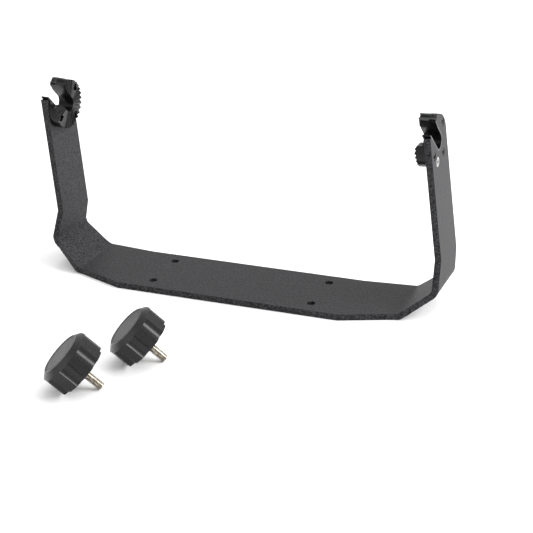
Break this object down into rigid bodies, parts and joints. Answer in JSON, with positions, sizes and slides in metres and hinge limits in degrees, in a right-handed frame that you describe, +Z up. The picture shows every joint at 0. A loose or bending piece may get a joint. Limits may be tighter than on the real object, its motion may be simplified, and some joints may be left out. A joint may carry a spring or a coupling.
{
  "type": "chartplotter mounting bracket kit",
  "caption": "Bent flat-bar bail bracket with a toothed pivot cradle on each arm, and loose lobed clamping knobs with threaded studs, for a marine chartplotter display.",
  "frame": {"origin": "centre of the four base holes, on the underside of the base", "axes": "+Z up; +X along the bracket, from its left arm to its right; -Y towards the user, the side that the slots open to and the knobs lie on"},
  "size_m": [0.3194, 0.258, 0.1545],
  "materials": {
    "powder_coated_steel": "fine-textured matt black powder coat",
    "cradle_plastic": "moulded, semi-gloss",
    "black_screw": "black oxide",
    "stainless_screw": "turned",
    "grip_plastic": "moulded, satin",
    "cap_plastic": "moulded, satin",
    "stainless_stud": "rolled thread"
  },
  "bodies": {
    "bracket": {"bracket": "powder_coated_steel", "left_cradle": "cradle_plastic", "right_cradle": "cradle_plastic", "left_upper_screw": "black_screw", "left_lower_screw": "black_screw", "left_front_screw": "black_screw", "right_upper_screw": "black_screw", "right_lower_screw": "black_screw", "right_front_screw": "black_screw", "left_retaining_screw": "stainless_screw", "right_retaining_screw": "stainless_screw"},
    "knob_1": {"knob_1_grip": "grip_plastic", "knob_1_cap": "cap_plastic", "knob_1_stud": "stainless_stud"},
    "knob_2": {"knob_2_grip": "grip_plastic", "knob_2_cap": "cap_plastic", "knob_2_stud": "stainless_stud"}
  },
  "joints": [
    {"name": "knob_1_turn", "type": "hinge", "parent": "bracket", "child": "knob_1", "pos_m": [-0.0346, -0.191, 0.01392], "axis": [0.6503, 0.28, -0.7062], "continuous": true},
    {"name": "knob_2_turn", "type": "hinge", "parent": "bracket", "child": "knob_2", "pos_m": [-0.012, -0.139, 0.01392], "axis": [0.6503, 0.28, -0.7062], "continuous": true}
  ]
}
